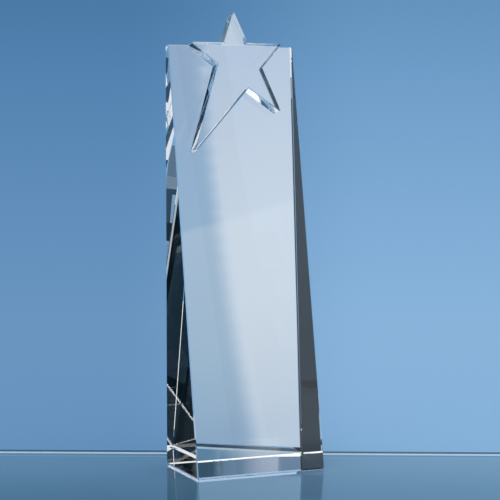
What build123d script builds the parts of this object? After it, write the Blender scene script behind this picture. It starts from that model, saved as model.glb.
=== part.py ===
from build123d import *
import os
from math import atan2, cos, radians, sin

# Star trophy in optical crystal.  A solid wedge-shaped column stands on its polished base, with an
# upright back and a front that leans back to a thin top.  A flat five-pointed star plate is bonded to
# the leaning front, its arms level with the top edge, by a clear film of cured adhesive.
# Millimetres.  The origin is the middle of the base, +Z is up and the leaning front looks towards -Y.

# Column
column_width = 75.0
column_depth = 48.0             # at the base
column_height = 233.5
top_depth = 4.5                 # from the upright back to the leaning front, at the top
edge_bevel = 0.7                # ground flat along the upright, sloping and top edges
base_bevel = 1.0                # heavier round the base, which takes the knocks

# Star plate: its points are measured across and up the leaning front from the middle of its top edge.
star_thickness = 8.0
apex = (-0.5, 18.1)             # the point that stands above the column
neck_width = 14.4               # the apex point's width where it leaves the arms
arm_reach = 27.5                # from the middle to each arm's tip
left_waist = (-12.2, -12.1)     # inner corner between an arm and a leg
right_waist = (14.4, -13.9)
crotch = (5.2, -25.6)           # inner corner between the legs
left_foot = (-29.7, -62.1)      # tip of the long trailing leg
right_foot = (24.2, -39.4)
tip_flat = 1.0                  # width of the flat ground on each sharp tip
star_front_bevel = 0.4
star_back_bevel = 0.25

# Adhesive
film_thickness = 0.1

back_y = column_depth / 2
base_front_y = -column_depth / 2
top_front_y = back_y - top_depth
lean = atan2(top_front_y - base_front_y, column_height)

leaning_front = Plane(
    origin=(0, top_front_y, column_height),
    x_dir=(1, 0, 0),
    z_dir=(0, -cos(lean), sin(lean)),
)
film_front = leaning_front.offset(film_thickness)
out_of_front = Axis(leaning_front.origin, leaning_front.z_dir)
top_of_front = Plane(
    origin=leaning_front.from_local_coords((0, -edge_bevel, 0)),
    x_dir=leaning_front.x_dir,
    z_dir=leaning_front.y_dir,
)

# Clockwise from the top.  Each inner corner follows the tip of the same place in the list.
tips = (apex, (arm_reach, 0), right_foot, left_foot, (-arm_reach, 0))
inner_corners = (
    (apex[0] + neck_width / 2, 0),
    right_waist,
    crotch,
    left_waist,
    (apex[0] - neck_width / 2, 0),
)


def ground_tip(corner_before, tip, corner_after):
    """Return the two ends of the flat ground square across a tip."""
    tip = Vector(tip)
    one_side = (Vector(corner_before) - tip).normalized()
    other_side = (Vector(corner_after) - tip).normalized()
    half_angle = radians(one_side.get_angle(other_side) / 2)
    cut_length = tip_flat / 2 / sin(half_angle)
    return tip + one_side * cut_length, tip + other_side * cut_length


star_outline = []
for place, tip in enumerate(tips):
    star_outline.extend(ground_tip(inner_corners[place - 1], tip, inner_corners[place]))
    star_outline.append(inner_corners[place])

os.makedirs("parts", exist_ok=True)

# The column is its side profile, drawn across the depth and carried out both ways to its width.
with BuildPart() as column:
    with BuildSketch(Plane.YZ):
        with BuildLine():
            Polyline(
                (base_front_y, 0),
                (back_y, 0),
                (back_y, column_height),
                (top_front_y, column_height),
                close=True,
            )
        make_face()
    extrude(amount=column_width / 2, both=True)
    base_edges = column.faces().sort_by(Axis.Z)[0].edges()
    chamfer(column.edges() - base_edges, edge_bevel)
    chamfer(column.faces().sort_by(Axis.Z)[0].edges(), base_bevel)
column.part.label = "column"
export_step(column.part, "parts/column.step")

# The star plate stands on the film, square to the leaning front, with all its edges arrissed.
with BuildPart() as star:
    with BuildSketch(film_front):
        Polygon(*star_outline, align=None)
    extrude(amount=star_thickness)
    chamfer(star.faces().sort_by(out_of_front)[-1].edges(), star_front_bevel)
    chamfer(star.faces().sort_by(out_of_front)[0].edges(), star_back_bevel)
star.part.label = "star"
export_step(star.part, "parts/star.step")

# The film fills the gap between the flat of the star's back and the flat of the column's front, so it
# stops short of both bevels and leaves the apex point bare.
with BuildPart() as bond_film:
    star_back = star.faces().sort_by(out_of_front)[0]
    extrude(star_back, amount=film_thickness)
    split(bisect_by=top_of_front, keep=Keep.BOTTOM)
bond_film.part.label = "bond_film"
export_step(bond_film.part, "parts/bond_film.step")
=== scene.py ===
import logging
import math
from collections.abc import Sequence
from dataclasses import dataclass
from enum import Enum

import bmesh
import bpy
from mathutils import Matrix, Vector
from mathutils.geometry import tessellate_polygon


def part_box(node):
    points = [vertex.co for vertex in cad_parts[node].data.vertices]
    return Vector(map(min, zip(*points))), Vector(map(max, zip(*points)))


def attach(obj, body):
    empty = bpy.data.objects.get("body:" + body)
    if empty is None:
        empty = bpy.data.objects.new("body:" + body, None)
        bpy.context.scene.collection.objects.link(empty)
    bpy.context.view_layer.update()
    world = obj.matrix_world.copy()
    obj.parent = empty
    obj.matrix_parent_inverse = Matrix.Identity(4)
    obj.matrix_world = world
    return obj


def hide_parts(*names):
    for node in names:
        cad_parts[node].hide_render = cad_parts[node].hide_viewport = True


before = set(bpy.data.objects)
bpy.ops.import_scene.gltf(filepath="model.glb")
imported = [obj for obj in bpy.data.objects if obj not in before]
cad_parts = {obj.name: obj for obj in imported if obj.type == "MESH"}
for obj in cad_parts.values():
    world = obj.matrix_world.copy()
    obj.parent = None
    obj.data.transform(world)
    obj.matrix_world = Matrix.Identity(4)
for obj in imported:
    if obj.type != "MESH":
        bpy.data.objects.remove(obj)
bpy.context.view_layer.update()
LOG = logging.getLogger("star_trophy")

MM = 0.001
LEVEL_WITHIN = 0.01 * MM  # corners this close to a plane lie in it
WELD_WITHIN = 0.001 * MM
SPREAD_LAYER = "spread"  # the UV layer that carries a mesh's own measures
ALL_BOUNCES = 40
CRYSTAL_BOUNCES = 32  # as many as a ray caught in the column may need

Point2 = tuple[float, float]
Point3 = tuple[float, float, float]
Colour = tuple[float, float, float]
Stop = tuple[float, Colour]
Tree = bpy.types.NodeTree
Socket = bpy.types.NodeSocket
Look = Socket | Colour  # a colour, worked out by nodes or plain
Mesh = bpy.types.Mesh
Material = bpy.types.Material
Object = bpy.types.Object


class Face(Enum):
    """Which finish a face of a crystal piece takes, by its place among the piece's materials."""

    POLISHED = 0
    GROUND = 1
    BONDED = 2


class Height(Enum):
    """How high the flat cards lie, in the gap between the trophy's base, at 0, and the table."""

    FOOT_LIGHT = -0.08 * MM
    CARD = -0.10 * MM
    MAT = -0.12 * MM
    STRIP = -0.15 * MM
    TABLE = -0.20 * MM


class Blend(Enum):
    """The ways of mixing two colours."""

    MIX = "MIX"
    MULTIPLY = "MULTIPLY"


class Tone(Enum):
    """The light that a studio card sends out, darkest first."""

    BLACK = (0.0, 0.0, 0.0)
    SHADE = (0.008, 0.022, 0.035)
    CORNER_SHADE = (0.02, 0.035, 0.05)
    DIM = (0.03, 0.06, 0.09)
    SLATE = (0.11, 0.155, 0.20)
    DEEP_BLUE = (0.11, 0.225, 0.355)
    PALE_SLATE = (0.21, 0.31, 0.40)
    CORNER_GREY = (0.25, 0.31, 0.37)
    BLUE = (0.27, 0.44, 0.68)
    PALE_BLUE = (0.33, 0.52, 0.75)
    SOFT_BLUE = (0.35, 0.46, 0.58)
    MIST = (0.36, 0.55, 0.75)
    HAZE = (0.46, 0.57, 0.70)
    NEAR_WHITE = (0.75, 0.82, 0.88)
    FOOT_WHITE = (0.75, 0.88, 1.0)
    WHITE = (1.0, 1.0, 1.0)
    WARM_LAMP = (1.2, 1.2, 1.15)
    LAMP = (1.3, 1.3, 1.3)
    BLUE_LAMP = (1.15, 1.5, 1.9)
    BRIGHT_LAMP = (1.9, 1.9, 1.9)
    COOL_LAMP = (1.7, 1.9, 2.2)
    SPARK = (4.2, 4.3, 4.5)


def level_way(azimuth: float) -> Vector:
    """Point level at an azimuth in degrees, which runs from +Y towards +X."""
    turn = math.radians(azimuth)
    return Vector((math.sin(turn), math.cos(turn), 0))


def right_of(way: Vector) -> Vector:
    """Point level to the right of a level direction, seen from above."""
    return Vector((way.y, -way.x, 0))


def socket_id(tree: Tree, name: str) -> str:
    """Find a Geometry Nodes input by its name.

    Args:
        tree: The node tree that has the input.
        name: The input's name in the tree's interface.

    Returns:
        The socket's identifier, which a modifier's value is set by.
    """
    return next(i.identifier for i in tree.interface.items_tree if i.name == name and i.in_out == "INPUT")


def new_tree(name: str, sizes: dict[str, str]) -> tuple[Tree, bpy.types.Node]:
    """Start a Geometry Nodes tree that takes some geometry, its sizes and a material.

    Args:
        name: The tree's name.
        sizes: The socket type of each named size, in order.

    Returns:
        The tree and its group input.
    """
    tree = bpy.data.node_groups.new(name, "GeometryNodeTree")
    inputs = {"Geometry": "NodeSocketGeometry", **sizes, "Material": "NodeSocketMaterial"}
    for label, kind in inputs.items():
        tree.interface.new_socket(label, in_out="INPUT", socket_type=kind)
    tree.interface.new_socket("Geometry", in_out="OUTPUT", socket_type="NodeSocketGeometry")
    return tree, tree.nodes.new("NodeGroupInput")


def close_tree(tree: Tree, made: Socket, material: Socket) -> None:
    """End a tree in Realize Instances and Set Material.

    Args:
        tree: The tree to end.
        made: The socket that gives the finished geometry.
        material: The socket that gives the material.
    """
    realize = tree.nodes.new("GeometryNodeRealizeInstances")
    dress = tree.nodes.new("GeometryNodeSetMaterial")
    output = tree.nodes.new("NodeGroupOutput")
    tree.links.new(made, realize.inputs["Geometry"])
    tree.links.new(realize.outputs["Geometry"], dress.inputs["Geometry"])
    tree.links.new(material, dress.inputs["Material"])
    tree.links.new(dress.outputs["Geometry"], output.inputs["Geometry"])


def in_scene(name: str, data: bpy.types.ID) -> Object:
    """Put a mesh or a camera in the scene as an object at the world origin.

    Args:
        name: The object's name.
        data: Its mesh or camera.

    Returns:
        The object.
    """
    made = bpy.data.objects.new(name, data)
    bpy.context.scene.collection.objects.link(made)
    return made


def grown_piece(
    name: str, seed: Mesh, tree: Tree, values: dict[str, object], finishes: list[Material]
) -> Object:
    """Run a Geometry Nodes tree on a mesh and keep the result as a plain mesh.

    Args:
        name: The new piece's name.
        seed: The mesh that the tree starts from.
        tree: The tree to run.
        values: A value for each of the tree's named inputs, but for the material.
        finishes: A material for each Face, in order.

    Returns:
        The piece, at the origin, with the finished mesh and no modifier, polished all over.
    """
    made = in_scene(name, seed)
    modifier = made.modifiers.new("grow", "NODES")
    modifier.node_group = tree
    for label, value in {**values, "Material": finishes[Face.POLISHED.value]}.items():
        modifier[socket_id(tree, label)] = value
    grown = bpy.data.meshes.new_from_object(made.evaluated_get(bpy.context.evaluated_depsgraph_get()))
    made.modifiers.remove(modifier)
    made.data = grown
    grown.name = name
    grown.materials.clear()
    for finish in finishes:
        grown.materials.append(finish)
    return made


def grind(mesh: bmesh.types.BMesh, edges: list[bmesh.types.BMEdge], width: float) -> None:
    """Bevel edges and mark the new faces as ground.

    Args:
        mesh: The mesh, changed in place.
        edges: The edges to bevel.
        width: The bevel's width along each face.
    """
    ground = bmesh.ops.bevel(
        mesh, geom=edges, offset=width, offset_type="OFFSET", segments=1, affect="EDGES", profile=0.5
    )
    for face in ground["faces"]:
        face.material_index = Face.GROUND.value


def turn_outward(face: bmesh.types.BMFace, outward: Vector) -> None:
    """Flip a face that looks against a direction.

    Args:
        face: The face, changed in place.
        outward: The direction in which it has to look.
    """
    face.normal_update()
    if face.normal.dot(outward) < 0:
        face.normal_flip()


def wedge_tree() -> Tree:
    """Build the tree that makes the column's sharp-edged wedge from its sizes.

    Returns:
        A tree with the inputs Width, Depth, Height, Top Depth and Material.
    """
    sizes = {name: "NodeSocketFloat" for name in ("Width", "Depth", "Height", "Top Depth")}
    tree, given = new_tree("wedge", sizes)
    new, link = tree.nodes.new, tree.links.new
    size = new("ShaderNodeCombineXYZ")
    block = new("GeometryNodeMeshCube")
    position = new("GeometryNodeInputPosition")
    parts = new("ShaderNodeSeparateXYZ")
    in_front = new("FunctionNodeCompare")
    is_top = new("FunctionNodeCompare")
    both = new("FunctionNodeBooleanMath")
    set_back = new("ShaderNodeMath")
    shift = new("ShaderNodeCombineXYZ")
    lean_back = new("GeometryNodeSetPosition")
    half = new("ShaderNodeMath")
    rise = new("ShaderNodeCombineXYZ")
    stand = new("GeometryNodeTransform")
    in_front.operation = "LESS_THAN"
    is_top.operation = "GREATER_THAN"
    both.operation = "AND"
    set_back.operation = "SUBTRACT"
    half.operation = "MULTIPLY"
    half.inputs[1].default_value = 0.5
    link(given.outputs["Width"], size.inputs["X"])
    link(given.outputs["Depth"], size.inputs["Y"])
    link(given.outputs["Height"], size.inputs["Z"])
    link(size.outputs["Vector"], block.inputs["Size"])
    link(position.outputs["Position"], parts.inputs["Vector"])
    link(parts.outputs["Y"], in_front.inputs["A"])
    link(parts.outputs["Z"], is_top.inputs["A"])
    link(in_front.outputs["Result"], both.inputs[0])
    link(is_top.outputs["Result"], both.inputs[1])
    link(given.outputs["Depth"], set_back.inputs[0])
    link(given.outputs["Top Depth"], set_back.inputs[1])
    link(set_back.outputs["Value"], shift.inputs["Y"])
    link(block.outputs["Mesh"], lean_back.inputs["Geometry"])
    link(both.outputs["Boolean"], lean_back.inputs["Selection"])
    link(shift.outputs["Vector"], lean_back.inputs["Offset"])
    link(given.outputs["Height"], half.inputs[0])
    link(half.outputs["Value"], rise.inputs["Z"])
    link(lean_back.outputs["Geometry"], stand.inputs["Geometry"])
    link(rise.outputs["Vector"], stand.inputs["Translation"])
    close_tree(tree, stand.outputs["Geometry"], given.outputs["Material"])
    return tree


def plate_tree() -> Tree:
    """Build the tree that thickens a flat outline and stands it against the leaning front.

    Returns:
        A tree with the inputs Thickness, Origin, Lean and Material.
    """
    sizes = {"Thickness": "NodeSocketFloat", "Origin": "NodeSocketVector", "Lean": "NodeSocketFloat"}
    tree, given = new_tree("plate", sizes)
    new, link = tree.nodes.new, tree.links.new
    thicken = new("GeometryNodeExtrudeMesh")
    back = new("GeometryNodeFlipFaces")
    both = new("GeometryNodeJoinGeometry")
    weld = new("GeometryNodeMergeByDistance")
    turn = new("ShaderNodeCombineXYZ")
    stand = new("GeometryNodeTransform")
    thicken.mode = "FACES"
    thicken.inputs["Individual"].default_value = False
    weld.inputs["Distance"].default_value = WELD_WITHIN
    link(given.outputs["Geometry"], thicken.inputs["Mesh"])
    link(given.outputs["Thickness"], thicken.inputs["Offset Scale"])
    link(given.outputs["Geometry"], back.inputs["Mesh"])
    link(thicken.outputs["Mesh"], both.inputs["Geometry"])
    link(back.outputs["Mesh"], both.inputs["Geometry"])
    link(both.outputs["Geometry"], weld.inputs["Geometry"])
    link(given.outputs["Lean"], turn.inputs["X"])
    link(weld.outputs["Geometry"], stand.inputs["Geometry"])
    link(given.outputs["Origin"], stand.inputs["Translation"])
    link(turn.outputs["Vector"], stand.inputs["Rotation"])
    close_tree(tree, stand.outputs["Geometry"], given.outputs["Material"])
    return tree


def plain_mesh(
    name: str,
    corners: Sequence[Point3 | Vector],
    faces: list[tuple[int, ...]],
    marks: list[Point2] | None = None,
) -> Mesh:
    """Make a mesh from its corners and faces.

    Args:
        name: The mesh's name.
        corners: Its corners, in metres.
        faces: The numbers of each face's corners, in order.
        marks: A place on the spread layer for each corner, where the mesh needs them.

    Returns:
        The mesh.
    """
    mesh = bpy.data.meshes.new(name)
    mesh.from_pydata(corners, [], faces)
    if marks:
        layer = mesh.uv_layers.new(name=SPREAD_LAYER)
        for loop in mesh.loops:
            layer.data[loop.index].uv = marks[loop.vertex_index]
    mesh.update()
    return mesh


def flat_mesh(name: str, outline: list[Point2]) -> Mesh:
    """Make one flat face from an outline that runs anticlockwise seen from in front.

    Args:
        name: The mesh's name.
        outline: Points across and up, in metres.

    Returns:
        A mesh in its own XY plane, facing +Z.
    """
    return plain_mesh(name, [(x, y, 0.0) for x, y in outline], [tuple(range(len(outline)))])


def blank_material(name: str) -> Material:
    """Start a material with no nodes.

    Args:
        name: The material's name.

    Returns:
        The material.
    """
    made = bpy.data.materials.new(name)
    made.use_nodes = True
    made.node_tree.nodes.clear()
    return made


def show(tree: Tree, shader: Socket) -> None:
    """Finish a material's tree with the shader of its surface.

    Args:
        tree: The material's tree.
        shader: The shader to show.
    """
    output = tree.nodes.new("ShaderNodeOutputMaterial")
    tree.links.new(shader, output.inputs["Surface"])


def object_place(tree: Tree) -> Socket:
    """Read the place on the object, in its own coordinates."""
    return tree.nodes.new("ShaderNodeTexCoord").outputs["Object"]


def blended(tree: Tree, share: Socket, first: Socket, second: Socket) -> Socket:
    """Mix two shaders.

    Args:
        tree: The node tree to add to.
        share: How much of the second there is.
        first: The shader where the share is 0.
        second: The shader where the share is 1.

    Returns:
        The mixed shader's socket.
    """
    either = tree.nodes.new("ShaderNodeMixShader")
    for place, socket in enumerate((share, first, second)):
        tree.links.new(socket, either.inputs[place])
    return either.outputs[0]


@dataclass(frozen=True)
class CrystalFinish:
    """Clear optical crystal.

    Attributes:
        name: The material's name.
        tint: How much of each colour one surface lets through.
        index: The crystal's refractive index.
        roughness: How much the surface scatters.
        ripple: The height of the polish's slow waves, in metres.
        ripple_scale: How many waves there are in a metre.
    """

    name: str
    tint: Colour = (0.985, 0.993, 0.996)
    index: float = 1.52
    roughness: float = 0.0
    ripple: float = 0.4e-6
    ripple_scale: float = 45.0

    def material(self) -> Material:
        """Build the material.

        Returns:
            The material, with its slow polishing waves from Object coordinates.
        """
        made = bpy.data.materials.new(self.name)
        made.use_nodes = True
        tree = made.node_tree
        shader = tree.nodes["Principled BSDF"]
        shader.inputs["Base Color"].default_value = (*self.tint, 1.0)
        shader.inputs["Roughness"].default_value = self.roughness
        shader.inputs["IOR"].default_value = self.index
        shader.inputs["Transmission Weight"].default_value = 1.0
        waves = tree.nodes.new("ShaderNodeTexNoise")
        bump = tree.nodes.new("ShaderNodeBump")
        waves.inputs["Scale"].default_value = self.ripple_scale
        waves.inputs["Detail"].default_value = 1.0
        bump.inputs["Distance"].default_value = self.ripple
        tree.links.new(object_place(tree), waves.inputs["Vector"])
        tree.links.new(waves.outputs["Fac"], bump.inputs["Height"])
        tree.links.new(bump.outputs["Normal"], shader.inputs["Normal"])
        return made


@dataclass(frozen=True)
class ContactFinish:
    """Crystal wetted by adhesive of nearly its own index, which light passes unbent.

    Attributes:
        name: The material's name.
        clearness: How much light the contact passes.
    """

    name: str
    clearness: float = 0.995

    def material(self) -> Material:
        """Build the material.

        Returns:
            A see-through material.
        """
        made = blank_material(self.name)
        clear = made.node_tree.nodes.new("ShaderNodeBsdfTransparent")
        clear.inputs["Color"].default_value = (self.clearness,) * 3 + (1.0,)
        show(made.node_tree, clear.outputs["BSDF"])
        return made


@dataclass(frozen=True)
class LeaningFront:
    """The column's leaning front, on which points are placed across, up and out from its top edge's middle.

    Attributes:
        top_y: How far behind the trophy's middle the front's top edge lies.
        height: How high its top edge is.
        lean: How far it leans back from upright, in radians.
    """

    top_y: float
    height: float
    lean: float

    @property
    def outward(self) -> Vector:
        """The direction straight out from the front."""
        return self.place(0, 0, 1) - self.place(0, 0)

    @property
    def up_slope(self) -> Vector:
        """The direction straight up the front."""
        return self.place(0, 1) - self.place(0, 0)

    def place(self, across: float, up: float, out: float = 0.0) -> Vector:
        """Place a point on or over the front.

        Args:
            across: Metres to the right of the middle.
            up: Metres up the slope from the top edge.
            out: Metres out from the front.

        Returns:
            The point in the row frame.
        """
        rise, run = math.cos(self.lean), math.sin(self.lean)
        return Vector((across, self.top_y + up * run - out * rise, self.height + up * rise + out * run))

    def measure(self, point: Vector) -> Vector:
        """Measure a point's place on the front.

        Args:
            point: The point in the row frame.

        Returns:
            How far it lies across, up and out, in metres.
        """
        rise, run = math.cos(self.lean), math.sin(self.lean)
        y, z = point.y - self.top_y, point.z - self.height
        return Vector((point.x, y * run + z * rise, z * run - y * rise))

    def stand(self, thickness: float, out: float) -> dict[str, object]:
        """Give the plate tree's inputs for a plate that stands square to the front.

        Args:
            thickness: The plate's thickness.
            out: How far out from the front its back lies.

        Returns:
            A value for each input.
        """
        return {"Thickness": thickness, "Origin": self.place(0, 0, out), "Lean": math.pi / 2 - self.lean}


@dataclass
class Column:
    """The solid crystal column.

    Attributes:
        width: Its width.
        depth: Its depth at the base.
        height: Its height.
        top_depth: Its depth at the top.
        edge_bevel: The bevel along the upright, sloping and top edges.
        base_bevel: The heavier bevel round the rest of the base, which takes the knocks.
        back_bevel: The finer bevel along the base's back edge.
    """

    width: float
    depth: float
    height: float
    top_depth: float = 4.5 * MM
    edge_bevel: float = 0.5 * MM
    base_bevel: float = 1.0 * MM
    back_bevel: float = 0.45 * MM

    @classmethod
    def from_frame(cls) -> "Column":
        """Read the column's size from the CAD model's box."""
        low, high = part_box("column")
        return cls(width=high.x - low.x, depth=2 * high.y, height=high.z)

    @property
    def front(self) -> LeaningFront:
        """The leaning front's plane."""
        top_y = self.depth / 2 - self.top_depth
        return LeaningFront(top_y, self.height, math.atan2(self.depth - self.top_depth, self.height))

    def build(self, finishes: list[Material], imprint: list[Point2]) -> Object:
        """Make the column, with the star's footprint marked on its front.

        Args:
            finishes: A material for each Face, in order.
            imprint: The film's outline, across and up the front.

        Returns:
            The finished piece.
        """
        sizes = {"Width": self.width, "Depth": self.depth, "Height": self.height, "Top Depth": self.top_depth}
        seed = bpy.data.meshes.new("column_seed")
        piece = grown_piece("crystal_column", seed, wedge_tree(), sizes, finishes)
        mesh = bmesh.new()
        mesh.from_mesh(piece.data)
        self._grind_edges(mesh)
        self._mark_footprint(mesh, imprint)
        mesh.to_mesh(piece.data)
        mesh.free()
        return piece

    def _grind_edges(self, mesh: bmesh.types.BMesh) -> None:
        """Bevel every edge: more heavily round the base, and most finely along its back edge.

        Args:
            mesh: The sharp wedge, changed in place.
        """
        upper = [e for e in mesh.edges if max(v.co.z for v in e.verts) > self.height / 2]
        grind(mesh, upper, self.edge_bevel)
        for width, at_back in ((self.base_bevel, False), (self.back_bevel, True)):
            base = min(mesh.faces, key=lambda f: f.calc_center_median().z)
            back = max(base.edges, key=lambda e: sum(v.co.y for v in e.verts))
            grind(mesh, [e for e in base.edges if (e is back) == at_back], width)

    def _mark_footprint(self, mesh: bmesh.types.BMesh, imprint: list[Point2]) -> None:
        """Cut the film's outline into the front face and mark what lies inside it as bonded.

        Args:
            mesh: The bevelled column, changed in place.
            imprint: The film's outline, across and up the front.
        """
        outward = self.front.outward
        face = max(mesh.faces, key=lambda f: f.normal.dot(outward) * f.calc_area())
        border = face.verts[:]
        footprint = [mesh.verts.new(self.front.place(x, y)) for x, y in imprint]
        corners = border + footprint
        mesh.faces.remove(face)
        loops = [[self.front.measure(v.co) for v in loop] for loop in (border, footprint)]
        for corner_numbers in tessellate_polygon(loops):
            turn_outward(mesh.faces.new([corners[n] for n in corner_numbers]), outward)
        bonded = mesh.faces.new(footprint)
        turn_outward(bonded, outward)
        bonded.material_index = Face.BONDED.value


@dataclass
class StarPlate:
    """The flat star plate, whose points are placed across and up from the middle of the column's top edge.

    Attributes:
        front: The column's leaning front.
        edge_below: The width of the column's top bevel.
        film_thickness: How far out from the front the plate's back lies.
        thickness: The plate's thickness.
        apex: The point that stands above the column.
        neck_width: The apex point's width where it leaves the arms.
        arm_reach: How far each arm's tip reaches.
        left_waist: The inner corner between the left arm and leg.
        right_waist: The inner corner between the right arm and leg.
        crotch: The inner corner between the legs.
        left_foot: The tip of the long trailing leg.
        right_foot: The tip of the short leg.
        tip_flat: The width of the flat ground on each tip.
        front_bevel: The arris round the plate's front.
        back_bevel: The arris round its back.
        bond_setback: How far short of the column's top bevel the adhesive stops.
    """

    front: LeaningFront
    edge_below: float
    film_thickness: float = 0.1 * MM
    thickness: float = 8.0 * MM
    apex: Point2 = (-0.5 * MM, 18.1 * MM)
    neck_width: float = 14.4 * MM
    arm_reach: float = 27.5 * MM
    left_waist: Point2 = (-12.2 * MM, -12.1 * MM)
    right_waist: Point2 = (14.4 * MM, -13.9 * MM)
    crotch: Point2 = (5.2 * MM, -25.6 * MM)
    left_foot: Point2 = (-29.7 * MM, -62.1 * MM)
    right_foot: Point2 = (24.2 * MM, -39.4 * MM)
    tip_flat: float = 1.0 * MM
    front_bevel: float = 0.4 * MM
    back_bevel: float = 0.25 * MM
    bond_setback: float = 0.15 * MM

    @property
    def bond_limit(self) -> float:
        """How far up the front the adhesive reaches: just short of the column's top bevel."""
        return -self.edge_below - self.bond_setback

    def outline(self) -> list[Point2]:
        """Work out the plate's outline, with a flat ground on each tip.

        Returns:
            Points across and up, anticlockwise seen from in front.
        """
        half_neck = self.neck_width / 2
        corners = (
            (self.apex[0] - half_neck, 0.0),
            self.left_waist,
            self.crotch,
            self.right_waist,
            (self.apex[0] + half_neck, 0.0),
        )
        tips = (self.apex, (-self.arm_reach, 0.0), self.left_foot, self.right_foot, (self.arm_reach, 0.0))
        points: list[Point2] = []
        for place, tip in enumerate(tips):
            middle = Vector(tip)
            before = (Vector(corners[place - 1]) - middle).normalized()
            after = (Vector(corners[place]) - middle).normalized()
            cut = self.tip_flat / 2 / math.sin(before.angle(after) / 2)
            points.extend([tuple(middle + before * cut), tuple(middle + after * cut), corners[place]])
        return points

    def build(self, finishes: list[Material]) -> Object:
        """Make the star plate.

        Args:
            finishes: A material for each Face, in order.

        Returns:
            The finished piece.
        """
        seed = flat_mesh("star_seed", self.outline())
        values = self.front.stand(self.thickness, self.film_thickness)
        piece = grown_piece("star_plate", seed, plate_tree(), values, finishes)
        mesh = bmesh.new()
        mesh.from_mesh(piece.data)
        front_out = self.film_thickness + self.thickness
        grind(mesh, self._flat_at(mesh, front_out).edges[:], self.front_bevel)
        grind(mesh, self._flat_at(mesh, self.film_thickness).edges[:], self.back_bevel)
        self._mark_bond(mesh)
        mesh.to_mesh(piece.data)
        mesh.free()
        return piece

    def footprint(self, piece: Object) -> list[Point2]:
        """Read the bonded area's outline from the finished plate.

        Args:
            piece: The finished plate.

        Returns:
            Points across and up the column's front.
        """
        bonded = [p for p in piece.data.polygons if p.material_index == Face.BONDED.value]
        largest = max(bonded, key=lambda p: p.area)
        placed = [self.front.measure(piece.data.vertices[n].co) for n in reversed(largest.vertices)]
        return [(p.x, p.y) for p in placed]

    def _is_level(self, face: bmesh.types.BMFace, out: float) -> bool:
        """Tell whether a face lies flat at a distance out from the column's front."""
        return all(abs(self.front.measure(v.co).z - out) < LEVEL_WITHIN for v in face.verts)

    def _flat_at(self, mesh: bmesh.types.BMesh, out: float) -> bmesh.types.BMFace:
        """Find the large flat face that lies a distance out from the column's front."""
        return max((f for f in mesh.faces if self._is_level(f, out)), key=lambda f: f.calc_area())

    def _mark_bond(self, mesh: bmesh.types.BMesh) -> None:
        """Split the back flat at the adhesive's upper end and mark what lies below as bonded.

        Args:
            mesh: The bevelled plate, changed in place.
        """
        back = self._flat_at(mesh, self.film_thickness)
        upper_end = self.front.place(0, self.bond_limit, self.film_thickness)
        cut = [back, *back.edges, *back.verts]
        bmesh.ops.bisect_plane(mesh, geom=cut, plane_co=upper_end, plane_no=self.front.up_slope)
        for face in mesh.faces:
            highest = max(self.front.measure(v.co).y for v in face.verts)
            if self._is_level(face, self.film_thickness) and highest < self.bond_limit + LEVEL_WITHIN:
                face.material_index = Face.BONDED.value


@dataclass
class BondFilm:
    """The cured adhesive between the star and the column.

    Attributes:
        front: The column's leaning front.
        thickness: The film's thickness.
        squareness: How squarely a face has to look out from the front, or back at it, to be a flat.
    """

    front: LeaningFront
    thickness: float
    squareness: float = 0.5

    def build(self, finishes: list[Material], outline: list[Point2]) -> Object:
        """Make the film.

        Args:
            finishes: A material for each Face, in order.
            outline: The film's outline, anticlockwise seen from in front.

        Returns:
            The finished piece.
        """
        seed = flat_mesh("film_seed", outline)
        values = self.front.stand(self.thickness, 0.0)
        piece = grown_piece("bond_film_clear", seed, plate_tree(), values, finishes)
        for face in piece.data.polygons:
            if abs(face.normal.dot(self.front.outward)) > self.squareness:
                face.material_index = Face.BONDED.value
        return piece


def feed(tree: Tree, given: Look | float, into: Socket) -> None:
    """Give a node's input what it works on.

    Args:
        tree: The tree that has the node.
        given: A socket to link, or a plain number or colour.
        into: The input.
    """
    if isinstance(given, Socket):
        tree.links.new(given, into)
    else:
        into.default_value = (*given, 1.0) if isinstance(given, tuple) else given


def soft_step(tree: Tree, value: Socket, start: float, end: float) -> Socket:
    """Ease a value from 0 to 1 between two of its values.

    Args:
        tree: The node tree to add to.
        value: The value to ease.
        start: Where the result leaves 0.
        end: Where the result reaches 1.

    Returns:
        The eased socket.
    """
    step = tree.nodes.new("ShaderNodeMapRange")
    step.interpolation_type = "SMOOTHSTEP"
    step.inputs["From Min"].default_value = start
    step.inputs["From Max"].default_value = end
    tree.links.new(value, step.inputs["Value"])
    return step.outputs["Result"]


def maths(tree: Tree, operation: str, *terms: Socket | float) -> Socket:
    """Add a Math node.

    Args:
        tree: The node tree to add to.
        operation: The node's operation.
        terms: Its inputs in order, each a socket or a number.

    Returns:
        The result's socket.
    """
    node = tree.nodes.new("ShaderNodeMath")
    node.operation = operation
    for place, term in enumerate(terms):
        feed(tree, term, node.inputs[place])
    return node.outputs["Value"]


def measured_along(tree: Tree, place: Socket, way: Vector) -> Socket:
    """Measure how far a place lies along a direction.

    Args:
        tree: The node tree to add to.
        place: The place or direction to measure.
        way: The unit direction to measure along.

    Returns:
        The distance's socket.
    """
    node = tree.nodes.new("ShaderNodeVectorMath")
    node.operation = "DOT_PRODUCT"
    node.inputs[1].default_value = way
    tree.links.new(place, node.inputs[0])
    return node.outputs["Value"]


def mixed(tree: Tree, share: Socket | float, first: Look, second: Look, blend: Blend = Blend.MIX) -> Socket:
    """Mix two colours.

    Args:
        tree: The node tree to add to.
        share: How much of the second there is.
        first: The colour where the share is 0.
        second: The other colour.
        blend: The way of mixing.

    Returns:
        The mixed colour's socket.
    """
    node = tree.nodes.new("ShaderNodeMix")
    node.data_type = "RGBA"
    node.blend_type = blend.value
    for name, given in (("Factor", share), ("A", first), ("B", second)):
        feed(tree, given, next(s for s in node.inputs if s.name == name and s.enabled))
    return next(s for s in node.outputs if s.enabled)


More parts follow.
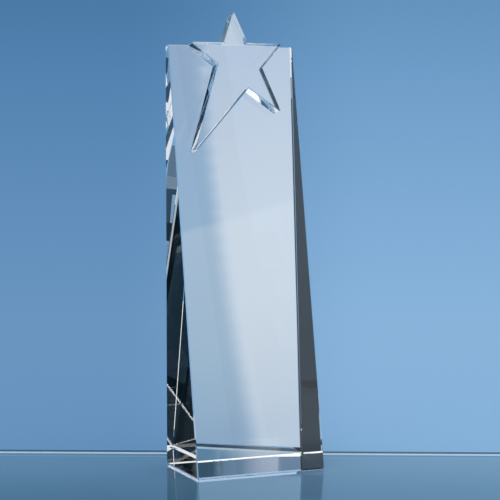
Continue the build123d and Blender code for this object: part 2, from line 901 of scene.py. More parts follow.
def ramp(tree: Tree, value: Socket, stops: tuple[Stop, ...]) -> Socket:
    """Turn a value into a colour along a row of stops.

    Args:
        tree: The node tree to add to.
        value: The value to read, from 0 to 1.
        stops: The position and colour of each stop.

    Returns:
        The colour's socket.
    """
    node = tree.nodes.new("ShaderNodeValToRGB")
    elements = node.color_ramp.elements
    while len(elements) < len(stops):
        elements.new(stops[-1][0])
    for element, (position, colour) in zip(elements, stops):
        element.position = position
        element.color = (*colour, 1.0)
    tree.links.new(value, node.inputs["Fac"])
    return node.outputs["Color"]


def glowing(tree: Tree, colour: Look) -> Socket:
    """Add a shader that sends out light.

    Args:
        tree: The node tree to add to.
        colour: The light's colour.

    Returns:
        The shader's socket.
    """
    light = tree.nodes.new("ShaderNodeEmission")
    feed(tree, colour, light.inputs["Color"])
    return light.outputs["Emission"]


def one_sided(tree: Tree, shader: Socket) -> Socket:
    """Make a shader show only on the front of a card, which is clear from behind.

    Args:
        tree: The card material's tree.
        shader: The shader of the card's front.

    Returns:
        The card's shader.
    """
    side = tree.nodes.new("ShaderNodeNewGeometry")
    clear = tree.nodes.new("ShaderNodeBsdfTransparent")
    return blended(tree, side.outputs["Backfacing"], shader, clear.outputs["BSDF"])


def read_marks(tree: Tree) -> tuple[Socket, Socket]:
    """Read the marks that a mesh carries on its spread layer.

    Args:
        tree: The node tree to add to.

    Returns:
        The mark's two sockets.
    """
    marks = tree.nodes.new("ShaderNodeUVMap")
    marks.uv_map = SPREAD_LAYER
    parts = tree.nodes.new("ShaderNodeSeparateXYZ")
    tree.links.new(marks.outputs["UV"], parts.inputs["Vector"])
    return parts.outputs["X"], parts.outputs["Y"]


def stand_card(mesh: Mesh, finish: Material, in_mirrors: bool = False) -> Object:
    """Put a card in the studio, hidden from the camera and from the floor's light.

    Args:
        mesh: The card's mesh, whose name it takes.
        finish: Its material.
        in_mirrors: Whether a plain reflection shows it too.

    Returns:
        The card.
    """
    mesh.materials.append(finish)
    card = in_scene(mesh.name, mesh)
    card.visible_camera = False
    card.visible_diffuse = False
    card.visible_shadow = False
    card.visible_volume_scatter = False
    card.visible_glossy = in_mirrors
    return card


@dataclass(frozen=True)
class Card:
    """A plain card in the studio, seen only through the crystal or in it. It glows with its tone and shows
    nowhere else, so what the crystal shows of it is painted light: painted highlights, painted reflections or
    painted shade.

    Attributes:
        name: The card's name.
        corners: Its corners in order, anticlockwise from the side that shows.
        tone: The light that it sends out.
        in_mirrors: Whether a plain reflection shows it too.
        fade: The tone that it changes to towards +X, and where that starts and ends.
    """

    name: str
    corners: tuple[Point3, ...]
    tone: Tone = Tone.BLACK
    in_mirrors: bool = False
    fade: tuple[Tone, float, float] | None = None

    @classmethod
    def level(
        cls, name: str, sides: Point2, ends: Point2, tone: Tone = Tone.BLACK, height: float = Height.MAT.value
    ) -> "Card":
        """Make an oblong card that lies level.

        Args:
            name: The card's name.
            sides: Where it starts and ends along X.
            ends: Where it starts and ends along Y. It faces down if they run towards -Y.
            tone: The light that it sends out.
            height: How high it lies.

        Returns:
            The card.
        """
        plan = ((sides[0], ends[0]), (sides[1], ends[0]), (sides[1], ends[1]), (sides[0], ends[1]))
        return cls(name, tuple((x, y, height) for x, y in plan), tone)

    @classmethod
    def standing(
        cls, name: str, left: Point2, right: Point2, heights: Point2, tone: Tone = Tone.BLACK
    ) -> "Card":
        """Make an oblong card that stands over two places on the table.

        Args:
            name: The card's name.
            left: Where its left side stands, seen from the side that shows.
            right: Where its right side stands.
            heights: How high its lower and upper edges are.
            tone: The light that it sends out.

        Returns:
            The card.
        """
        low, high = heights
        return cls(name, ((*left, low), (*right, low), (*right, high), (*left, high)), tone)

    @classmethod
    def facing(
        cls,
        name: str,
        azimuth: float,
        away: float,
        sides: Point2,
        heights: Point2,
        tone: Tone,
        rises: Point2 = (0.0, 0.0),
    ) -> "Card":
        """Make a card that stands facing the trophy.

        Args:
            name: The card's name.
            azimuth: Its direction from the trophy, in degrees.
            away: How far out it stands.
            sides: Where it starts and ends to the right, seen from the trophy.
            heights: How high its lower and upper edges are at the start.
            tone: The light that it sends out.
            rises: How much higher those two edges are at the end.

        Returns:
            The card.
        """
        out = level_way(azimuth)
        places = [(out * away + right_of(out) * side).to_2d() for side in sides]
        (low, high), (low_rise, high_rise) = heights, rises
        lower = ((*places[0], low), (*places[1], low + low_rise))
        return cls(name, (*lower, (*places[1], high + high_rise), (*places[0], high)), tone)

    @classmethod
    def leading_out(
        cls,
        name: str,
        azimuth: float,
        ends: Point2,
        sides: Point2,
        tone: Tone,
        far_sides: Point2 | None = None,
    ) -> "Card":
        """Make a card that lies flat and leads straight out from the trophy.

        Args:
            name: The card's name.
            azimuth: The direction that it runs in, in degrees.
            ends: How far out it starts and ends.
            sides: Where its two sides lie to the left, seen from the trophy.
            tone: The light that it sends out.
            far_sides: The same at its far end, if they differ there.

        Returns:
            The card.
        """
        out = level_way(azimuth)
        (near, far), (far_right, far_left) = ends, far_sides or sides
        plan = ((near, sides[0]), (far, far_right), (far, far_left), (near, sides[1]))
        spots = [out * away - right_of(out) * side for away, side in plan]
        return cls(name, tuple((spot.x, spot.y, Height.CARD.value) for spot in spots), tone)

    @classmethod
    def spreading(
        cls, name: str, left: Point3, right: Point3, ends: Point2, in_mirrors: bool = False
    ) -> "Card":
        """Make a dark card that lies flat and widens away from the trophy, which paints a band of shade in
        the crystal.

        Args:
            name: The card's name.
            left: Where its left side would start, across and behind, and the azimuth that it runs in.
            right: The same for its right side.
            ends: How far from those starts the card begins and ends.
            in_mirrors: Whether a plain reflection shows it too.

        Returns:
            The card.
        """
        near, far = ends
        corners = []
        for (x, y, azimuth), away in ((left, near), (right, near), (right, far), (left, far)):
            spot = Vector((x, y, Height.STRIP.value)) + level_way(azimuth) * away
            corners.append(tuple(spot))
        return cls(name, tuple(corners), Tone.SHADE, in_mirrors)

    def place(self) -> Object:
        """Put the card in the studio.

        Returns:
            The card, hidden from the camera and from the light on the floor.
        """
        mesh = plain_mesh(self.name, self.corners, [tuple(range(len(self.corners)))])
        finish = blank_material(self.name)
        tree = finish.node_tree
        colour = self.tone.value
        if self.fade:
            other, start, end = self.fade
            share = soft_step(tree, measured_along(tree, object_place(tree), Vector((1, 0, 0))), start, end)
            colour = mixed(tree, share, colour, other.value)
        show(tree, one_sided(tree, glowing(tree, colour)))
        return stand_card(mesh, finish, self.in_mirrors)


@dataclass(frozen=True)
class View:
    """Where the camera stands and looks, from which the studio is laid out.

    Attributes:
        azimuth: The direction in which it looks, in degrees.
        pitch: How far down it looks, in degrees.
        distance: How far in front of the trophy it stands.
        offset: How far it stands to the right of the line through the trophy's middle.
        height: How high it stands.
        lens: Its focal length, in the camera's own millimetres.
        sensor: Its sensor's width, in the same millimetres.
    """

    azimuth: float = 23.08
    pitch: float = 3.94
    distance: float = 926.5 * MM
    offset: float = 2.74 * MM
    height: float = 184.5 * MM
    lens: float = 121.27
    sensor: float = 36.0

    @property
    def behind(self) -> Vector:
        """The level direction in which the camera looks."""
        return level_way(self.azimuth)

    @property
    def aside(self) -> Vector:
        """The level direction to the camera's right."""
        return right_of(self.behind)

    def place_camera(self) -> None:
        """Stand the camera in its place."""
        tilt = math.radians(self.pitch)
        ahead = self.behind * math.cos(tilt) - Vector((0, 0, math.sin(tilt)))
        lens = bpy.data.cameras.new("camera")
        lens.lens = self.lens
        lens.sensor_width = self.sensor
        camera = in_scene("camera", lens)
        spot = self.aside * self.offset - self.behind * self.distance
        camera.location = spot + Vector((0, 0, self.height))
        camera.rotation_mode = "QUATERNION"
        camera.rotation_quaternion = ahead.to_track_quat("-Z", "Y")
        bpy.context.scene.camera = camera


@dataclass(frozen=True)
class SweepFinish:
    """The matt blue floor behind the table, which deepens with distance and pales to the right.

    Attributes:
        view: Where the camera stands.
        left: The colour on the left.
        right: The colour on the right.
        blend: How far to each side the two mix, as a share of the distance from the camera.
        stops: What the colour is multiplied by, from the farthest place to the nearest.
    """

    view: View
    left: Colour = (0.142, 0.300, 0.524)
    right: Colour = (0.251, 0.452, 0.700)
    blend: float = 0.08
    stops: tuple[Stop, ...] = (
        (0.0, (0.727, 0.819, 0.878)),
        (0.078, (0.766, 0.848, 0.90)),
        (0.196, (0.83, 0.89, 0.93)),
        (0.317, (0.888, 0.93, 0.965)),
        (0.556, (1.0, 1.0, 1.0)),
        (0.678, (1.0, 1.0, 1.0)),
        (0.890, (0.975, 0.99, 1.0)),
        (0.937, (0.95, 0.985, 1.0)),
    )

    def side_colour(self, tree: Tree, slope: Socket, depth: Socket, stops: tuple[Stop, ...]) -> Socket:
        """Work out a colour from how far to the side and how deep in the studio a place is.

        Args:
            tree: The node tree to add to.
            slope: How far to the right the place is, as a share of its distance from the camera.
            depth: The value that the stops are read by.
            stops: What the colour is multiplied by.

        Returns:
            The colour's socket.
        """
        side = mixed(tree, soft_step(tree, slope, -self.blend, self.blend), self.left, self.right)
        return mixed(tree, 1.0, side, ramp(tree, depth, stops), Blend.MULTIPLY)

    def matt(self, tree: Tree) -> Socket:
        """Add the matt shader, coloured by the place on the floor.

        Args:
            tree: The floor material's tree.

        Returns:
            The shader's socket.
        """
        place = object_place(tree)
        away = maths(tree, "ADD", measured_along(tree, place, self.view.behind), self.view.distance)
        away = maths(tree, "MAXIMUM", away, self.view.distance / 2)
        nearness = maths(tree, "DIVIDE", self.view.distance, away)
        slope = maths(tree, "DIVIDE", measured_along(tree, place, self.view.aside), away)
        shader = tree.nodes.new("ShaderNodeBsdfPrincipled")
        shader.inputs["Roughness"].default_value = 1.0
        shader.inputs["Specular IOR Level"].default_value = 0.0
        feed(tree, self.side_colour(tree, slope, nearness, self.stops), shader.inputs["Base Color"])
        return shader.outputs["BSDF"]

    def material(self) -> Material:
        """Build the floor's material.

        Returns:
            The material.
        """
        made = blank_material("sweep")
        show(made.node_tree, self.matt(made.node_tree))
        return made


@dataclass(frozen=True)
class TableFinish:
    """The table: glossy and grey-blue round the trophy, and matt like the floor behind it farther out.

    Attributes:
        view: Where the camera stands.
        sweep: The finish that it turns into.
        near_left: The colour beside the trophy, on the left.
        near_right: The same on the right.
        front_left: The deeper colour in front, on the left.
        front_right: The same on the right.
        side_blend: How far to each side left and right mix.
        front_blend: How far behind the trophy the deeper colour starts, and where it is full.
        gloss_fade: How far out the gloss starts to fade, and where it ends.
        roughness: The gloss's roughness.
        index: The gloss's refractive index.
        edge_behind: How far behind the trophy the table's back edge crosses the line of view.
        edge_skew: How much nearer the edge comes for each metre to the right.
        edge_lines: Where each fine line along the back edge starts and ends, and its colour: painted
            highlights and painted shade along the edge.
        line_softness: How far each line's sides fade to either side.
    """

    view: View
    sweep: SweepFinish
    near_left: Colour = (0.118, 0.245, 0.383)
    near_right: Colour = (0.185, 0.320, 0.490)
    front_left: Colour = (0.057, 0.142, 0.239)
    front_right: Colour = (0.100, 0.215, 0.350)
    side_blend: float = 75 * MM
    front_blend: Point2 = (28 * MM, -92 * MM)
    gloss_fade: Point2 = (120 * MM, 420 * MM)
    roughness: float = 0.02
    index: float = 1.45
    edge_behind: float = 47.2 * MM
    edge_skew: float = 0.0295
    edge_lines: tuple[tuple[float, float, Colour], ...] = (
        (27.8 * MM, 30.0 * MM, (0.190, 0.345, 0.530)),
        (32.4 * MM, 34.4 * MM, (0.105, 0.220, 0.370)),
        (36.6 * MM, 41.0 * MM, (0.640, 0.780, 0.910)),
        (41.5 * MM, 47.2 * MM, (0.022, 0.050, 0.080)),
    )
    line_softness: float = 0.4 * MM

    def colour(self, tree: Tree) -> Socket:
        """Work out the table's colour: deeper in front, with fine lines of painted highlight and painted
        shade at its back edge.

        Args:
            tree: The table material's tree.

        Returns:
            The colour's socket.
        """
        place = object_place(tree)
        away = measured_along(tree, place, self.view.behind)
        across = measured_along(tree, place, self.view.aside)
        right = soft_step(tree, across, -self.side_blend, self.side_blend)
        near = mixed(tree, right, self.near_left, self.near_right)
        front = mixed(tree, right, self.front_left, self.front_right)
        colour = mixed(tree, soft_step(tree, away, *self.front_blend), near, front)
        inward = maths(tree, "MULTIPLY_ADD", across, self.edge_skew, away)
        # painted highlight and painted shade: bright and dark lines along the table's back edge
        for start, end, line in self.edge_lines:
            middle, reach = (start + end) / 2, (end - start) / 2
            off = maths(tree, "ABSOLUTE", maths(tree, "SUBTRACT", inward, middle))
            inside = soft_step(tree, off, reach + self.line_softness, reach - self.line_softness)
            colour = mixed(tree, inside, colour, line)
        return colour

    def material(self) -> Material:
        """Build the table's material.

        Returns:
            The material.
        """
        made = blank_material("table")
        tree = made.node_tree
        gloss = tree.nodes.new("ShaderNodeBsdfPrincipled")
        gloss.inputs["Roughness"].default_value = self.roughness
        gloss.inputs["IOR"].default_value = self.index
        feed(tree, self.colour(tree), gloss.inputs["Base Color"])
        out = tree.nodes.new("ShaderNodeVectorMath")
        out.operation = "LENGTH"
        tree.links.new(object_place(tree), out.inputs[0])
        fade = soft_step(tree, out.outputs["Value"], *self.gloss_fade)
        show(tree, blended(tree, fade, gloss.outputs["BSDF"], self.sweep.matt(tree)))
        return made


@dataclass(frozen=True)
class Backdrop:
    """The studio's walls: plain white light on the floor, and a blue backdrop to look at.

    Directions are told by their slope: how far they lead to the right in each metre.

    Attributes:
        view: Where the camera stands.
        sweep: The floor's finish, which the lower wall carries on.
        low_stops: What the lower wall's colour is multiplied by, by height.
        high_span: The slopes between which the upper wall's middle lies.
        high_stops: The upper wall's colours across that middle.
        high_left: Its colour to the left of them.
        high_right: Its colour to the right of them.
        high_far: Its colour round the side of the studio.
        left_blend: Between which slopes the left colour turns into the middle ones.
        right_blend: The same for the right colour.
        far_blend: The same for the far colour.
        high_blend: Between which heights the lower wall turns into the upper one.
    """

    view: View
    sweep: SweepFinish
    low_stops: tuple[Stop, ...] = (
        (0.0, (0.727, 0.819, 0.878)),
        (0.032, (0.646, 0.755, 0.84)),
        (0.076, (0.51, 0.647, 0.738)),
    )
    high_span: Point2 = (-0.02, 0.04)
    high_stops: tuple[Stop, ...] = (
        (0.150, (0.034, 0.075, 0.125)),
        (0.270, (0.120, 0.210, 0.310)),
        (0.430, (0.110, 0.200, 0.310)),
        (0.630, (0.280, 0.365, 0.485)),
        (0.785, (0.310, 0.400, 0.515)),
        (0.800, (0.155, 0.237, 0.355)),
    )
    high_left: Colour = (0.126, 0.274, 0.471)
    high_right: Colour = (0.200, 0.390, 0.580)
    high_far: Colour = (0.05, 0.068, 0.086)
    left_blend: Point2 = (-0.045, -0.028)
    right_blend: Point2 = (0.039, 0.046)
    far_blend: Point2 = (-0.5, -0.2)
    high_blend: Point2 = (0.08, 0.25)

    def colour(self, tree: Tree) -> Socket:
        """Work out the walls' colour from the direction.

        Args:
            tree: The world's tree.

        Returns:
            The colour's socket.
        """
        way = tree.nodes.new("ShaderNodeTexCoord").outputs["Generated"]
        parts = tree.nodes.new("ShaderNodeSeparateXYZ")
        tree.links.new(way, parts.inputs["Vector"])
        up = parts.outputs["Z"]
        slope = measured_along(tree, way, self.view.aside)
        low = self.sweep.side_colour(tree, slope, up, self.low_stops)
        start, end = self.high_span
        share = maths(tree, "MULTIPLY_ADD", slope, 1 / (end - start), -start / (end - start))
        high = ramp(tree, share, self.high_stops)
        high = mixed(tree, soft_step(tree, slope, *self.left_blend), self.high_left, high)
        high = mixed(tree, soft_step(tree, slope, *self.right_blend), high, self.high_right)
        high = mixed(tree, soft_step(tree, slope, *self.far_blend), self.high_far, high)
        return mixed(tree, soft_step(tree, up, *self.high_blend), low, high)

    def build(self) -> None:
        """Build the world, which shows the backdrop to what looks at it and white to what it lights."""
        world = bpy.data.worlds.new("studio")
        bpy.context.scene.world = world
        world.use_nodes = True
        tree = world.node_tree
        tree.nodes.clear()
        seen = tree.nodes.new("ShaderNodeBackground")
        light = tree.nodes.new("ShaderNodeBackground")
        path = tree.nodes.new("ShaderNodeLightPath")
        output = tree.nodes.new("ShaderNodeOutputWorld")
        feed(tree, self.colour(tree), seen.inputs["Color"])
        feed(tree, Tone.WHITE.value, light.inputs["Color"])
        looked_at = maths(tree, "MAXIMUM", path.outputs["Is Camera Ray"], path.outputs["Is Glossy Ray"])
        looked_at = maths(tree, "MAXIMUM", looked_at, path.outputs["Is Transmission Ray"])
        walls = blended(tree, looked_at, light.outputs["Background"], seen.outputs["Background"])
        tree.links.new(walls, output.inputs["Surface"])


@dataclass(frozen=True)
class PaintedLightStrip:
    """A glowing strip on the table behind the trophy, seen only through the crystal, which paints the light
    and shade that the crystal shows of the table: painted light on one side of a soft edge and painted shade
    on the other.

    Attributes:
        view: Where the camera stands.
        start: How far behind the trophy it starts.
        end: How far behind the trophy it ends.
        lengths: How many lengths its mesh has.
        left_x: How far to the right its left side would be beside the trophy's middle.
        left_slope: How far its left side moves to the right for each metre back.
        right_x: The same as left_x for its right side.
        right_slope: The same as left_slope for its right side.
        edge_x: The same as left_x for the soft edge.
        edge_slope: The same as left_slope for the soft edge.
        soft_width: The soft edge's width beside the trophy.
        soft_growth: How much the soft edge widens for each metre back.
        tilt: How far the colours are shifted from one side of the soft edge to the other.
        dark_stops: The painted shade on the edge's left, from far to near.
        pale_stops: The painted light on its right.
    """

    view: View
    start: float = 49 * MM
    end: float = 8.0
    lengths: int = 24
    left_x: float = -44.5 * MM
    left_slope: float = 0.371
    right_x: float = 25.6 * MM
    right_slope: float = 0.47
    edge_x: float = 1.3 * MM
    edge_slope: float = 0.385
    soft_width: float = 15 * MM
    soft_growth: float = 0.013
    tilt: float = 0.0125
    dark_stops: tuple[Stop, ...] = (
        (0.205, (0.288, 0.410, 0.580)),
        (0.392, (0.300, 0.440, 0.615)),
        (0.512, (0.305, 0.450, 0.618)),
        (0.524, (0.385, 0.515, 0.655)),
        (0.683, (0.370, 0.500, 0.645)),
        (0.774, (0.345, 0.490, 0.635)),
        (0.869, (0.305, 0.440, 0.595)),
        (0.922, (0.265, 0.400, 0.565)),
    )
    pale_stops: tuple[Stop, ...] = (
        (0.205, (0.440, 0.555, 0.720)),
        (0.392, (0.526, 0.630, 0.760)),
        (0.512, (0.560, 0.660, 0.780)),
        (0.524, (0.605, 0.700, 0.810)),
        (0.683, (0.600, 0.695, 0.800)),
        (0.774, (0.570, 0.665, 0.775)),
        (0.869, (0.515, 0.620, 0.740)),
        (0.922, (0.470, 0.580, 0.710)),
    )

    def place(self) -> Object:
        """Lay the strip, in lengths that look equal to the camera.

        Returns:
            The runner.
        """
        reach = self.view.distance
        behind = self.view.behind
        near, far = reach / (self.start + reach), reach / (self.end + reach)
        corners: list[Point3] = []
        marks: list[Point2] = []
        for number in range(self.lengths + 1):
            nearness = near + (far - near) * number / self.lengths
            away = reach / nearness - reach
            for side_x, slope in ((self.left_x, self.left_slope), (self.right_x, self.right_slope)):
                y = (away - behind.x * side_x) / (behind.x * slope + behind.y)
                x = side_x + slope * y
                width = self.soft_width + self.soft_growth * y
                corners.append((x, y, Height.CARD.value))
                marks.append(((x - self.edge_x - self.edge_slope * y) / width + 0.5, nearness))
        faces = [(2 * n, 2 * n + 1, 2 * n + 3, 2 * n + 2) for n in range(self.lengths)]
        return stand_card(plain_mesh("painted_light_strip", corners, faces, marks), self._finish())

    def _finish(self) -> Material:
        """Build the strip's glowing finish, its painted light and shade.

        Returns:
            The material, which reads how far across the soft edge a place is, and how near.
        """
        made = blank_material("painted_light_strip")
        tree = made.node_tree
        across, nearness = read_marks(tree)
        place = maths(tree, "MULTIPLY_ADD", across, self.tilt, nearness)
        sides = (ramp(tree, place, stops) for stops in (self.dark_stops, self.pale_stops))
        colour = mixed(tree, soft_step(tree, across, 0.0, 1.0), *sides)
        show(tree, one_sided(tree, glowing(tree, colour)))
        return made


@dataclass(frozen=True)
class Louvre:
    """Fine dark vanes behind the trophy that stand along the view and hide the table from one side. They glow
    dark and show only through the crystal, where they paint shade.

    Attributes:
        height: How high the vanes stand.
        spacing: The distance between them.
        vanes: How many there could be.
        back: How far behind the trophy's middle their line begins.
        left: Where the first one starts across.
        slope: How far a vane at the middle moves to the right for each metre back.
        fan: How much that grows for each metre to the right.
        strip_left: Where the left side of the strip that they cross would pass the middle, to the right.
        strip_right: The same for its right side.
        strip_slope: How far the strip moves to the left for each metre back.
        tone: The light that they send out.
    """

    height: float = 0.6 * MM
    spacing: float = 1.25 * MM
    vanes: int = 62
    back: float = 25.5 * MM
    left: float = -40.0 * MM
    slope: float = 0.4307
    fan: float = 1.196
    strip_left: float = 36.5 * MM
    strip_right: float = 50.0 * MM
    strip_slope: float = 0.4775
    tone: Tone = Tone.SHADE

    def place(self) -> Object:
        """Stand the vanes where they cross the dark strip.

        Returns:
            The vanes, as one object.
        """
        corners: list[Point3] = []
        for number in range(self.vanes):
            root = self.left + number * self.spacing
            slope = self.slope + self.fan * root
            begin, end = (
                (side - root + self.back * slope) / (slope + self.strip_slope)
                for side in (self.strip_left, self.strip_right)
            )
            begin = max(begin, self.back)
            if end > begin:
                for y in (begin, end):
                    x = root + slope * (y - self.back)
                    corners.extend([(x, y, Height.CARD.value), (x, y, self.height)])
        faces = [(n, n + 2, n + 3, n + 1) for n in range(0, len(corners), 4)]
        finish = blank_material("louvre")
        show(finish.node_tree, glowing(finish.node_tree, self.tone.value))
        return stand_card(plain_mesh("louvre", corners, faces), finish)


@dataclass(frozen=True)
class Panel:
    """A soft panel of light that stands in front, facing the trophy.

    Attributes:
        name: The panel's name.
        away: Its distance from the trophy.
        layers: Where each layer of diffusion starts across, where it is full, and how bright it is.
        right: Where the panel ends across.
        heights: How high it starts, is full and ends.
        in_mirrors: Whether a plain reflection and the floor show it too.
        azimuth: Its direction from the trophy, in degrees.
    """

    name: str
    away: float
    layers: tuple[Point3, ...]
    right: float
    heights: Point3
    in_mirrors: bool
    azimuth: float = 157.0

    def place(self) -> Object:
        """Stand the panel.

        Returns:
            The panel, hidden from the camera.
        """
        out = level_way(self.azimuth)
        left, (low, _, high) = self.layers[0][0], self.heights
        marks = [(left, low), (self.right, low), (self.right, high), (left, high)]
        corners = [out * self.away - right_of(out) * s + Vector((0, 0, z)) for s, z in marks]
        mesh = plain_mesh(self.name, corners, [(0, 1, 2, 3)], marks)
        mesh.materials.append(self._finish())
        panel = in_scene(self.name, mesh)
        panel.visible_camera = False
        panel.visible_diffuse = self.in_mirrors
        panel.visible_glossy = self.in_mirrors
        return panel

    def _finish(self) -> Material:
        """Build the panel's finish, which brightens across and upwards.

        Returns:
            The material.
        """
        made = blank_material(self.name)
        tree = made.node_tree
        across, up = read_marks(tree)
        glow: Socket | float = 0.0
        for start, full, strength in self.layers:
            glow = maths(tree, "MULTIPLY_ADD", soft_step(tree, across, start, full), strength, glow)
        low, full, _ = self.heights
        light = tree.nodes.new("ShaderNodeEmission")
        feed(tree, maths(tree, "MULTIPLY", glow, soft_step(tree, up, low, full)), light.inputs["Strength"])
        show(tree, light.outputs["Emission"])
        return made


@dataclass
class Studio:
    """The floor, the lights, the cards and the camera.

    Attributes:
        view: Where the camera stands.
        floor_front: Where the floor starts along the view, from the trophy.
        floor_back: Where it ends.
        floor_side: How far it spreads to each side.
        front_azimuth: The direction in which the cards in front lie, in degrees.
        side_azimuth: The direction in which the white cards to the right lie.
        corner_y: How far behind the trophy's middle the cards at the back corner stand.
        corner_sides: Where those cards start and end across.
    """

    view: View = View()
    floor_front: float = -12.0
    floor_back: float = 60.0
    floor_side: float = 40.0
    front_azimuth: float = 159.0
    side_azimuth: float = 124.0
    corner_y: float = 24.3 * MM
    corner_sides: Point2 = (36.95 * MM, 37.6 * MM)

    def build(self) -> None:
        """Set up everything round the trophy."""
        sweep = SweepFinish(self.view)
        table = TableFinish(self.view, sweep)
        self._lay_floor("table", (self.floor_front, table.edge_behind), table.edge_skew, table.material())
        self._lay_floor("sweep", (table.edge_behind, self.floor_back), table.edge_skew, sweep.material())
        cards = [*self._strips(), *self._far_cards(), *self._near_cards(), *self._corner_cards()]
        cards += [*self._front_cards(), *self._side_cards()]
        for thing in (*self._panels(), *cards, PaintedLightStrip(self.view), Louvre()):
            thing.place()
        Backdrop(self.view, sweep).build()
        self.view.place_camera()

    def _lay_floor(self, name: str, ends: Point2, skew: float, finish: Material) -> None:
        """Lay a stretch of floor.

        Args:
            name: The stretch's name.
            ends: How far behind the trophy it starts and ends.
            skew: How much nearer its ends come for each metre to the right.
            finish: Its material.
        """
        (start, end), side = ends, self.floor_side
        down = Vector((0, 0, Height.TABLE.value))
        corners = [
            self.view.behind * (t - skew * s) + self.view.aside * s + down
            for t, s in ((start, -side), (start, side), (end, side), (end, -side))
        ]
        mesh = plain_mesh(name, corners, [(0, 1, 2, 3)])
        mesh.materials.append(finish)
        floor = in_scene(name, mesh)

    def _panels(self) -> list[Panel]:
        """List the soft panels in front: the softbox lights the floor and shows in reflections, while the low
        bar shows only through the crystal, as a painted light.

        Returns:
            The panels.
        """
        bar_layers = ((-0.128, -0.070, 1.9), (-0.03, 0.085, 2.9))
        return [
            Panel("softbox", 2.5, ((-0.05, 0.016, 1.1),), 0.80, (0.34, 0.41, 1.36), True),
            Panel("low_bar", 5.0, bar_layers, 0.30, (0.93, 0.965, 1.20), False),
        ]

    def _strips(self) -> list[Card]:
        """List the dark strips on the table that widen away from the trophy, which paint dark bands of shade
        in the crystal.

        Returns:
            The strips.
        """
        near_corner, far_corner = (-0.0378, -0.0245), (-0.0378, 0.0245)
        return [
            Card.spreading("back_flag", (0.025, 0.0245, -26.6), (0.0382, 0.0245, -24.1), (0.085, 6.5)),
            Card.spreading("left_flag", (*near_corner, -22.2), (*far_corner, -19.6), (0.0, 6.5), True),
            Card.spreading("arm_flag", (0.008, 0.024, -28.5), (0.021, 0.024, -27.1), (0.42, 0.59)),
        ]

    def _far_cards(self) -> list[Card]:
        """List the cards that stand well away, facing the trophy, which paint highlights, glints, reflections
        and shade in the crystal.

        Returns:
            The cards.
        """
        wide = (-0.16, 0.16)
        narrow = (-0.06, 0.06)
        aslant = (-0.10, 0.12)
        return [
            Card.facing("back_strip_light", 23.5, 2.0, wide, (0.522, 0.598), Tone.LAMP, (0.037, 0.0)),
            Card.facing("back_pale_strip", 23.5, 2.0, wide, (0.49, 0.52), Tone.PALE_BLUE, (0.01, 0.037)),
            Card.facing("side_strip_light", -26.0, 2.0, aslant, (0.562, 0.596), Tone.LAMP),
            Card.facing("side_dark_strip", -26.0, 2.0, aslant, (0.51, 0.56), Tone.SHADE),
            Card.facing("leg_flag", -10.0, 2.0, (-0.055, 0.022), (0.335, 0.455), Tone.SHADE),
            Card.facing("right_mirror_flag", -24.7, 2.0, narrow, (0.192, 0.234), Tone.SHADE),
            Card.facing("left_mirror_flag", 159.2, 2.45, narrow, (0.515, 0.580), Tone.SHADE),
            Card.facing("mirror_pale_strip", 22.6, 2.0, (-0.09, 0.09), (0.192, 0.248), Tone.MIST),
            Card.facing("mirror_strip_light", 28.0, 2.0, (-0.14, 0.14), (1.38, 1.50), Tone.BLUE_LAMP),
            Card.facing("right_strip_light", 65.0, 1.5, (-0.15, 0.15), (0.55, 0.68), Tone.BRIGHT_LAMP),
            Card.facing("foot_strip_light", -107.2, 1.5, narrow, (0.42, 0.48), Tone.COOL_LAMP),
            Card.facing("near_bevel_light", -144.6, 1.5, (0.0, 0.056), (0.204, 0.262), Tone.SPARK),
            Card.facing("far_bevel_light", -36.0, 1.5, (-0.052, 0.0), (0.172, 0.214), Tone.SPARK),
            Card.facing("foot_line_light", 123.9, 1.5, (-0.03, 0.03), (0.175, 0.215), Tone.WARM_LAMP),
            Card.facing("front_flag", 157.0, 4.9, (0.130, 0.26), (0.86, 1.12), Tone.BLACK),
        ]

    def _near_cards(self) -> list[Card]:
        """List the cards close round the trophy and the softbox over it, which show only through the crystal
        and paint what it shows: painted light under the base from the lit mat and foot light, painted
        highlights from the white cards, and painted shade from the black mats and flags.

        Returns:
            The cards.
        """
        # the tip card paints a pale highlight behind the star's top point
        tip_behind, tip_low, tip_high = 0.030, 0.2335, 0.262
        tip = ((-0.014, tip_low), (0.024, tip_low), (0.006, tip_high), (0.003, tip_high))
        # the lit mat paints the light that would pass through the crystal onto the table under the base,
        # paler towards +X
        mat = ((-0.0376, -0.0241), (0.0376, -0.0241), (0.0376, 0.0236), (-0.0376, 0.0581))
        mat_corners = tuple((x, y, Height.MAT.value) for x, y in mat)
        mat_fade = (Tone.SOFT_BLUE, -0.014, 0.016)
        foot_edge = ((-0.0378, -0.0355), (-0.0243, 0.0243))
        beside, between, beyond = (0.0474, 0.045), (0.054, 0.045), (0.075, 0.045)
        return [
            Card("tip_white", tuple((x, tip_behind, z) for x, z in tip), Tone.HAZE),
            Card.level("overhead_softbox", (-0.95, 0.95), (0.95, -0.95), Tone.WHITE, 1.2),
            Card("lit_mat", mat_corners, Tone.DEEP_BLUE, fade=mat_fade),
            Card.level("foot_light", *foot_edge, Tone.FOOT_WHITE, Height.FOOT_LIGHT.value),
            Card.level("foot_mat", (-0.048, -0.030), (0.152, 0.172)),
            Card.standing("right_flag", beside, (0.069, 0.045), (0.0, 0.118)),
            Card.level("right_mat", (0.0385, 0.066), (-0.022, 0.045)),
            Card.standing("foot_flag", beside, between, (0.118, 0.21), Tone.SHADE),
            Card.standing("right_white", between, beyond, (0.118, 0.21), Tone.WHITE),
            Card.standing("edge_flag", (0.112, 0.078), (0.128, 0.068), (0.045, 0.115)),
        ]

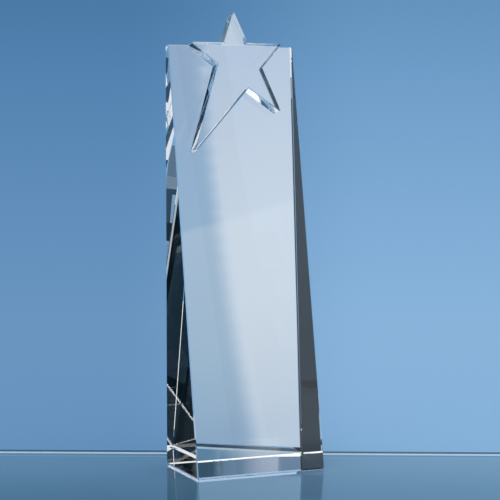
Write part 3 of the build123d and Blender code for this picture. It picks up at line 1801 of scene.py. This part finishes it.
    def _corner_cards(self) -> list[Card]:
        """List the narrow cards that back the column's right-hand corner, from its foot up, which paint
        shade, a grey band and a highlight along that corner in the crystal.

        Returns:
            The cards.
        """
        left, right = ((x, self.corner_y) for x in self.corner_sides)
        return [
            Card.standing("corner_shade", left, right, (0.0, 0.204), Tone.CORNER_SHADE),
            Card.standing("corner_grey", left, right, (0.204, 0.216), Tone.CORNER_GREY),
            Card.standing("corner_light", left, right, (0.216, 0.2335), Tone.NEAR_WHITE),
        ]

    def _front_cards(self) -> list[Card]:
        """List the flat cards in front, which the crystal's foot shows as patches and lines of painted light
        and painted shade.

        Returns:
            The cards.
        """
        patches = (
            ("front_mat", (0.02, 2.0), (0.020, 0.041), Tone.BLACK),
            ("front_grey", (0.385, 0.46), (0.0425, 0.060), Tone.SLATE),
            ("front_pale", (0.357, 0.385), (0.0425, 0.060), Tone.PALE_SLATE),
            ("front_line", (0.345, 0.357), (0.0425, 0.060), Tone.DIM),
            ("front_shade", (0.286, 0.345), (0.0425, 0.048), Tone.DIM),
            ("front_blue", (0.286, 0.345), (0.048, 0.060), Tone.BLUE),
            ("front_dark", (0.25, 0.286), (0.0425, 0.0499), Tone.SHADE),
            ("front_deep", (0.27, 0.286), (0.0499, 0.060), Tone.SHADE),
            ("front_white", (0.20, 0.224), (0.050, 0.072), Tone.WHITE),
            ("front_far_dark", (0.224, 0.268), (0.050, 0.072), Tone.SHADE),
            ("foot_dark", (0.20, 0.30), (0.072, 0.095), Tone.BLACK),
        )
        return [Card.leading_out(name, self.front_azimuth, *patch) for name, *patch in patches]

    def _side_cards(self) -> list[Card]:
        """List the flat white cards to the right, which widen away from the trophy and paint highlights in
        the crystal's foot.

        Returns:
            The cards.
        """
        patches = (
            ("side_white", (0.085, 0.55), (-0.005, 0.020), (-0.02, 0.05)),
            ("foot_white", (0.046, 0.0849), (-0.0026, -0.0008), (-0.0045, -0.0020)),
        )
        return [
            Card.leading_out(name, self.side_azimuth, ends, sides, Tone.WARM_LAMP, far_sides)
            for name, ends, sides, far_sides in patches
        ]


def main() -> None:
    """Build the trophy and its studio."""
    polished = CrystalFinish("polished_crystal").material()
    ground = CrystalFinish("ground_edge").material()
    contact = ContactFinish("wetted_contact").material()
    finishes = [polished, ground, contact]
    column = Column.from_frame()
    star = StarPlate(column.front, column.edge_bevel)
    star_piece = star.build(finishes)
    footprint = star.footprint(star_piece)
    film_piece = BondFilm(column.front, star.film_thickness).build(finishes, footprint)
    column_piece = column.build(finishes, footprint)
    for piece, node, slot in (
        (column_piece, "column", "column_crystal"),
        (star_piece, "star", "star_crystal"),
        (film_piece, "bond_film", "clear_adhesive"),
    ):
        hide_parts(node)
        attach(piece, "root")
        LOG.info("%s: %d faces", piece.name, len(piece.data.polygons))
    Studio().build()
    cycles = bpy.context.scene.cycles
    cycles.max_bounces = ALL_BOUNCES
    cycles.glossy_bounces = CRYSTAL_BOUNCES
    cycles.transmission_bounces = CRYSTAL_BOUNCES
    cycles.transparent_max_bounces = ALL_BOUNCES
    bpy.context.scene.view_settings.view_transform = "Standard"


if __name__ == "__main__":
    logging.basicConfig(level=logging.INFO)
    main()
